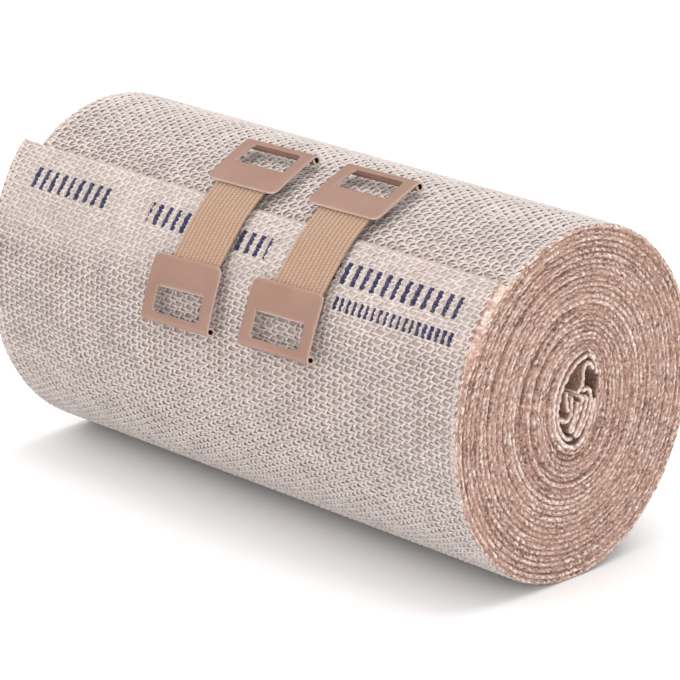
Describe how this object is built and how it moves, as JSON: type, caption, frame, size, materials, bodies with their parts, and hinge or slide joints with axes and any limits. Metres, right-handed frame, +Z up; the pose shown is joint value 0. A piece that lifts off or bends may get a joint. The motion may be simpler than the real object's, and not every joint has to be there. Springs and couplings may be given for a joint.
{
  "type": "short stretch bandage roll",
  "caption": "Woven cotton short stretch bandage wound into a tight roll, its free end held down by elastic clips with windowed metal plates.",
  "frame": {"origin": "middle of the small flat spot on which the roll rests", "axes": "+X along the roll's axis, away from the overhanging corner of the free end; -Y towards the side where the clips are; +Z up"},
  "size_m": [0.1031, 0.0525, 0.0553],
  "materials": {
    "cloth": "open plain weave of crepe-twisted cotton",
    "webbing": "ribbed elastic webbing",
    "plate": "satin skin-coloured paint"
  },
  "bodies": {
    "root": {"bandage_roll": "cloth", "clip_left_webbing": "webbing", "clip_right_webbing": "webbing", "clip_left_lower_plate": "plate", "clip_left_upper_plate": "plate", "clip_right_lower_plate": "plate", "clip_right_upper_plate": "plate"}
  },
  "joints": []
}
